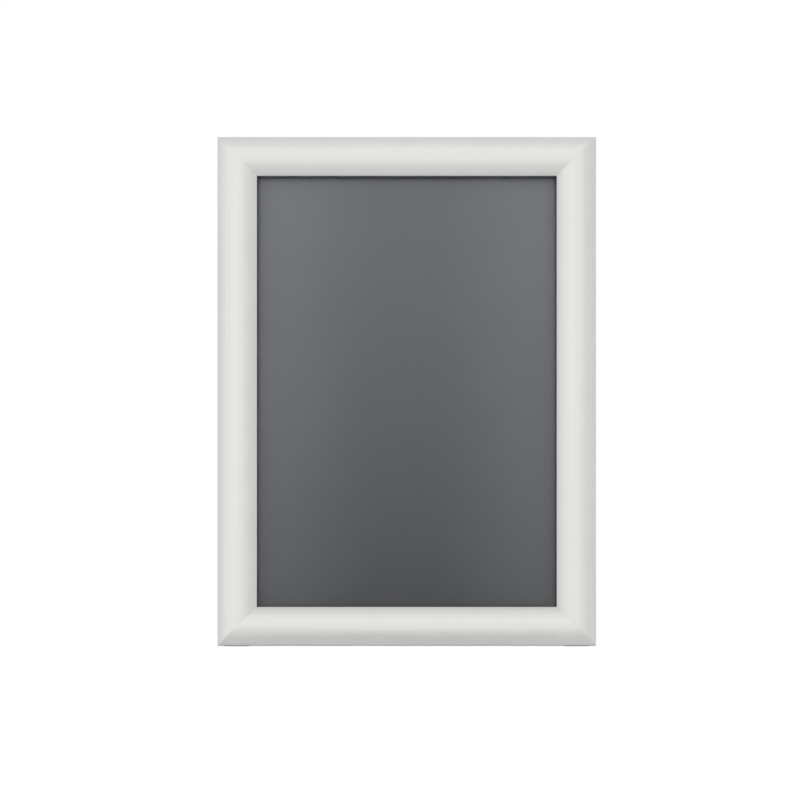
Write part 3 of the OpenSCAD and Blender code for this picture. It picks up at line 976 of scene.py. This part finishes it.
def stayRivet():
    radius, seat, web = rivet["radius"], bracket["thick"], -rail["wall"]
    head = [(wide, seat + past) for wide, past in rivet["dimple"] + rivet["head"]]
    tail = [(wide, web - past) for wide, past in rivet["tail"]]
    shape = Outline("rivet_master", head[0]).line(*head[1:], (radius, seat), (radius, web), *tail)
    return bevelled(shape.turn(28), rivet["edgeRound"], 2, 35)


# The stud or pivot pin: a flat head outside the stay, a riveted tail inside the ear
stud = {
    "radius": 2,
    "reach": 3.6,
    # radius, and height off each seat
    "tail": ((0, 0.6), (2.8, 0.6), (3.5, 0.3), (3.5, 0)),
    "head": ((3.5, 0), (3.5, 0.7), (3.0, 1.2), (1.3, 1.2), (0.9, 1.0), (0, 1.0)),
    "edgeRound": 0.06,
}


def stayPin():
    radius, low, high = stud["radius"], bracket["ear"], bracket["ear"] + stud["reach"]
    tail = [(wide, low - past) for wide, past in stud["tail"]]
    head = [(wide, high + past) for wide, past in stud["head"]]
    shape = Outline("stud_master", tail[0]).line(*tail[1:], (radius, low), (radius, high), *head)
    piece = placed(shape.turn(32), Matrix.Rotation(radians(-90), 4, "Z"))
    return bevelled(piece, stud["edgeRound"], 2, 35)


# Stays: a flat strap with a pivot hole and a slot that runs over the stud
stay = {
    "width": 10,
    "thick": 1.5,
    "start": 14.1,  # inward from the leaf's outer edge
    "hole": 2.05,
    "slot": 2.6,
    "slotStart": 143.7,
    "slotEnd": 152.77,
    "end": 156.77,
    "offsetAngle": -0.154,  # the stud runs a little off the slot's middle
    "cut": 6,
    "edgeRound": 0.25,
}


def bar(name, start, end, radius, steps=12):
    shape = Outline(name, (start, -radius)).line((end, -radius)).arc((end, 0), 180, steps)
    return shape.line((start, radius)).arc((start, 0), 180, steps)


def stayStrap():
    reach, hole = stay["width"] / 2, stay["hole"]
    piece = bar("stay_master", 0, stay["end"] - reach, reach, 18).pull(stay["thick"])
    slot = bar("slot", stay["slotStart"], stay["slotEnd"], stay["slot"])
    combined(piece, slot.pull(stay["cut"]), "DIFFERENCE")
    combined(piece, bar("hole", 0, 0.01, hole, 14).pull(stay["cut"]), "DIFFERENCE")
    return bevelled(piece, stay["edgeRound"], 2, 40)


# Feet: ribbed rubber pads behind the bottom corners, cut level with the ground
foot = {
    "outer": 4.3,
    "width": 16,
    "thick": 5,
    "top": 11,
    "below": 4,  # what the cut takes off, and a little more
    "topRound": 1.2,
    "firstRib": 1.0,
    "rib": 2.0,
    "ribDepth": 0.5,
    "ribSlope": 0.35,
    "ribGroove": 0.4,
    "plainTop": 2.5,
    "edgeRound": 0.6,
}


def footPad():
    face, groove, low = foot["thick"], foot["thick"] - foot["ribDepth"], -foot["below"]
    slope, topRound = foot["ribSlope"], foot["topRound"]
    shape = Outline("foot_master", (0, low)).line((face, low))
    height = foot["firstRib"]
    while height < foot["top"] - foot["plainTop"]:
        start, end = height + slope, height + slope + foot["ribGroove"]
        shape.line((face, height), (groove, start), (groove, end), (face, end + slope))
        height += foot["rib"]
    shape.line((face, foot["top"] - topRound)).arc((face - topRound, foot["top"] - topRound), 90, 5)
    return placed(shape.line((0, foot["top"])).pull(foot["width"]), alongX)


def levelled(piece):
    cutOff(piece, (0, 0, cadLow.z), (0, 0, -1))
    return bevelled(piece, foot["edgeRound"], 3, 40)


masters = {
    "key": cornerKey(),
    "spring": snapSpring(),
    "front_hinge": hingeBlock("front_hinge_master", False),
    "rear_hinge": hingeBlock("rear_hinge_master", True),
    "screw": hingeScrew(),
    "pin": hingePin(),
    "bracket": stayBracket(),
    "rivet": stayRivet(),
    "stud": stayPin(),
    "stay": stayStrap(),
    "foot": footPad(),
}
print("small pieces modelled")

foldAt = Vector(joints["fold"]["pos_m"])
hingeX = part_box("hinge_pins")[1].x / mm - pin["half"] - pin["headThick"]
studLow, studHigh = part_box("stay_studs")
studAt = Vector((0, (studLow.y + studHigh.y) / 2, (studLow.z + studHigh.z) / 2))
pivotAt = Vector(joints["left_stay_swing"]["pos_m"])
pivotAt.x = 0
hands = {"left": -1, "right": 1}
springPlaces = {
    "stile": (-leafHeight / 2 + spring["fromCorner"], 0, leafHeight / 2 - spring["fromCorner"]),
    "cross": (-spring["fromMiddle"], spring["fromMiddle"]),
}


# Where this leaf's stud or pivot pin is, up its back
def stayHeight(leaf):
    return leaf.local(studAt if leaf.name == "front" else pivotAt).z / mm


def screwPlaces(leaf, hand):
    z = leaf.local(foldAt).z / mm + hinge["screwHeight"]
    return [(hands[hand] * hingeX + end * hinge["screwSpread"], z) for end in (-1, 1)]


def rivetPlaces(leaf, hand):
    x = hands[hand] * (leafWidth / 2 - bracket["rivetWidth"])
    return [(x, stayHeight(leaf) + end * bracket["rivetSpread"]) for end in (-1, 1)]


# A copy of a small piece at its place on a leaf
def onLeaf(leaf, master, label, matrix, finish, node):
    piece = placed(copied(masters[master], leaf.name + "_" + label), matrix)
    fitted(piece, finishes[leaf.name][finish], leaf.body, leaf.name + "_" + node)


def addRails(leaf):
    own = finishes[leaf.name]
    holes = {"top": screwPlaces(leaf, "left") + screwPlaces(leaf, "right")}
    for hand in hands:
        holes[hand] = rivetPlaces(leaf, hand)
    for side, length in lengths.items():
        kind, matrix = "stile" if side in hands else "cross", leaf.side(side)
        node = leaf.name + "_cover_" + side
        piece = placed(copied(coverMasters[length], leaf.name + "_cover_rail_" + side), matrix)
        fitted(piece, own[kind], node, node, 40)
        piece = placed(copied(baseMasters[length], leaf.name + "_base_rail_" + side), matrix)
        radius = base["rivetHole" if side in hands else "hingeScrewHole"]
        for x, z in holes.get(side, ()):
            tool = cutter(radius, leaf.place() @ at(x, 0, z), base["holeDepth"])
            combined(piece, tool, "DIFFERENCE", "MANIFOLD")
        finish = own["baseStile" if side in hands else "baseCross"]
        fitted(piece, finish, leaf.body, leaf.name + "_base_" + side, 35)
        for number, along in enumerate(springPlaces[kind], 1):
            label, matrix = "snap_spring_%s_%d" % (side, number), leaf.side(side, along * mm)
            onLeaf(leaf, "spring", label, matrix, "spring", "snap_springs")


def addSheets(leaf):
    for node, settings in sheets.items():
        piece = flatSheet(leaf.name + "_" + node + "_slab", settings)
        placed(piece, leaf.place(0, 0, leaf.height / 2))
        finish = finishes[leaf.name][settings["finish"]]
        fitted(piece, finish, leaf.body, leaf.name + "_" + node)


cornerTurns = {"bottom_left": 0, "bottom_right": -90, "top_right": 180, "top_left": 90}


def addKeys(leaf):
    for corner, turn in cornerTurns.items():
        x = (-1 if "left" in corner else 1) * leaf.width / 2
        z = leaf.height if "top" in corner else 0
        matrix = leaf.place(x, 0, z) @ Matrix.Rotation(radians(turn), 4, "Y")
        onLeaf(leaf, "key", "corner_key_" + corner, matrix, "zinc", "corner_keys")


def addHinges(leaf):
    height = leaf.local(foldAt).z / mm
    for hand, sign in hands.items():
        matrix, label = leaf.place() @ at(sign * hingeX, 0, height), "hinge_block_" + hand
        onLeaf(leaf, leaf.name + "_hinge", label, matrix, "baseCross", "hinge_blocks")
        for number, (x, z) in enumerate(screwPlaces(leaf, hand), 1):
            matrix, label = leaf.place() @ at(x, 0, z), "hinge_screw_%s_%d" % (hand, number)
            onLeaf(leaf, "screw", label, matrix, "zinc", "hinge_screws")


# The bracket, its rivets, and the stud or pivot pin that holds the stay
def addStayMounts(leaf):
    height, node = stayHeight(leaf), "stay_studs" if leaf.name == "front" else "stay_pivot_pins"
    for hand, sign in hands.items():
        edge = leaf.place() @ at(sign * leafWidth / 2, 0, height)
        piece = copied(masters["bracket"], leaf.name + "_stay_bracket_" + hand)
        if sign > 0:
            mirroredX(piece)
        placed(piece, edge)
        own = finishes[leaf.name]
        fitted(piece, own["zinc"], leaf.body, leaf.name + "_stay_brackets")
        for number, (x, z) in enumerate(rivetPlaces(leaf, hand), 1):
            matrix, label = leaf.place() @ at(x, 0, z), "stay_rivet_%s_%d" % (hand, number)
            onLeaf(leaf, "rivet", label, matrix, "rivet", "stay_rivets")
        turn = Matrix.Rotation(radians(0 if sign < 0 else 180), 4, "Z")
        piece = copied(masters["stud"], node[:-1] + "_" + hand)
        placed(piece, edge @ at(0, hinge["axisGap"], 0) @ turn)
        fitted(piece, pinSteel, leaf.body, node)


def addFeet(leaf):
    for hand, sign in hands.items():
        x = sign * (leafWidth / 2 - foot["outer"] - foot["width"] / 2)
        piece = placed(copied(masters["foot"], leaf.name + "_foot_" + hand), leaf.place() @ at(x, 0, 0))
        finish = finishes[leaf.name]["rubber"]
        fitted(levelled(piece), finish, leaf.body, leaf.name + "_feet")


for leaf in leaves.values():
    addRails(leaf)
    addSheets(leaf)
    addKeys(leaf)
    addHinges(leaf)
    addStayMounts(leaf)
    addFeet(leaf)
print("leaves assembled")

# Pins and stays sit between the leaves: the stay runs from its pivot to the stud
across = Vector((1, 0, 0))
along = Matrix.Rotation(radians(stay["offsetAngle"]), 3, "X") @ (studAt - pivotAt).normalized()
turn = Matrix((along, across.cross(along), across)).transposed().to_4x4()
for hand, sign in hands.items():
    matrix = Matrix.Translation(foldAt) @ at(sign * hingeX, 0, 0)
    piece = placed(copied(masters["pin"], "hinge_pin_" + hand), matrix)
    fitted(piece, pinSteel, "front_leaf", "hinge_pins")
    x = sign * (leafWidth / 2 - stay["start"] - stay["thick"] / 2)
    matrix = Matrix.Translation(pivotAt) @ at(x, 0, 0) @ turn
    piece = placed(copied(masters["stay"], hand + "_stay_strap"), matrix)
    fitted(piece, stayZinc, hand + "_stay", hand + "_stay")
for master in [*masters.values(), *coverMasters.values(), *baseMasters.values()]:
    removed(master)
print("pins and stays placed")


# Camera, light, surroundings and floor
view = {
    "frameWidth": 0.50713,
    "left": 0.0043,
    "below": 0.0054,
    "distance": 4,
    "sight": 100,
}
coverTop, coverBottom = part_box("front_cover_top")[1].z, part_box("front_cover_bottom")[0].z
aim = Vector((0, 0, (coverTop + coverBottom) / 2))
cameraData = bpy.data.cameras.new("camera")
cameraData.type = "ORTHO"
cameraData.ortho_scale = view["frameWidth"]
cameraData.clip_end = view["sight"]
camera = bpy.data.objects.new("camera", cameraData)
camera.location = aim + Vector((-view["left"], -view["distance"], -view["below"]))
camera.rotation_euler = (radians(90), 0, 0)
bpy.context.scene.collection.objects.link(camera)
bpy.context.scene.camera = camera

lamp = {"turn": -13, "rise": 21, "distance": 4, "size": 5.5, "power": 25.6}
lampData = bpy.data.lights.new("key", "AREA")
lampData.shape = "SQUARE"
lampData.size = lamp["size"]
lampData.energy = lamp["power"]
light = bpy.data.objects.new("key", lampData)
lampTurn, lampRise = radians(lamp["turn"]), radians(lamp["rise"])
away = Vector((sin(lampTurn) * cos(lampRise), -cos(lampTurn) * cos(lampRise), sin(lampRise)))
light.location = aim + lamp["distance"] * away
light.rotation_euler = away.to_track_quat("Z", "Y").to_euler()
light.visible_camera = False
bpy.context.scene.collection.objects.link(light)

# White behind the board, the floor's grey below the horizon, and dimmer for all but the camera
surroundings = {"seen": 1.0, "ground": 0.67, "glow": 0.73, "groundEnds": -0.03, "whiteStarts": -0.01}
world = bpy.data.worlds.new("studio")
bpy.context.scene.world = world
world.use_nodes = True
nodes, links = world.node_tree.nodes, world.node_tree.links
background = nodes["Background"]
background.inputs["Color"].default_value = (1, 1, 1, 1)
path = nodes.new("ShaderNodeLightPath")
direction = nodes.new("ShaderNodeTexCoord")
height = nodes.new("ShaderNodeSeparateXYZ")
backdrop = nodes.new("ShaderNodeMapRange")
backdrop.inputs["From Min"].default_value = surroundings["groundEnds"]
backdrop.inputs["From Max"].default_value = surroundings["whiteStarts"]
backdrop.inputs["To Min"].default_value = surroundings["ground"]
backdrop.inputs["To Max"].default_value = surroundings["seen"]
level = nodes.new("ShaderNodeMapRange")
level.inputs["To Min"].default_value = surroundings["glow"]
links.new(direction.outputs["Generated"], height.inputs["Vector"])
links.new(height.outputs["Z"], backdrop.inputs["Value"])
links.new(backdrop.outputs["Result"], level.inputs["To Max"])
links.new(path.outputs["Is Camera Ray"], level.inputs["Value"])
links.new(level.outputs["Result"], background.inputs["Strength"])

stage = {
    "size": 60,
    "mottle": 110,
    "dark": (0.86, 0.86, 0.86),
    "light": (0.90, 0.90, 0.90),
    "roughness": 0.8,
}
bpy.ops.object.select_all(action="DESELECT")
bpy.ops.mesh.primitive_plane_add(size=stage["size"], location=(0, 0, cadLow.z))
floor = bpy.context.object
floor.name = "floor"
floorFinish = Finish("floor_finish")
mottle = floorFinish.noise(stage["mottle"], detail=4)
floorColour = floorFinish.mixColour(mottle, stage["dark"], stage["light"])
floor.data.materials.append(floorFinish.done(Base_Color=floorColour, Roughness=stage["roughness"]))
bpy.context.scene.view_settings.view_transform = "Standard"
print("camera, light and floor made")
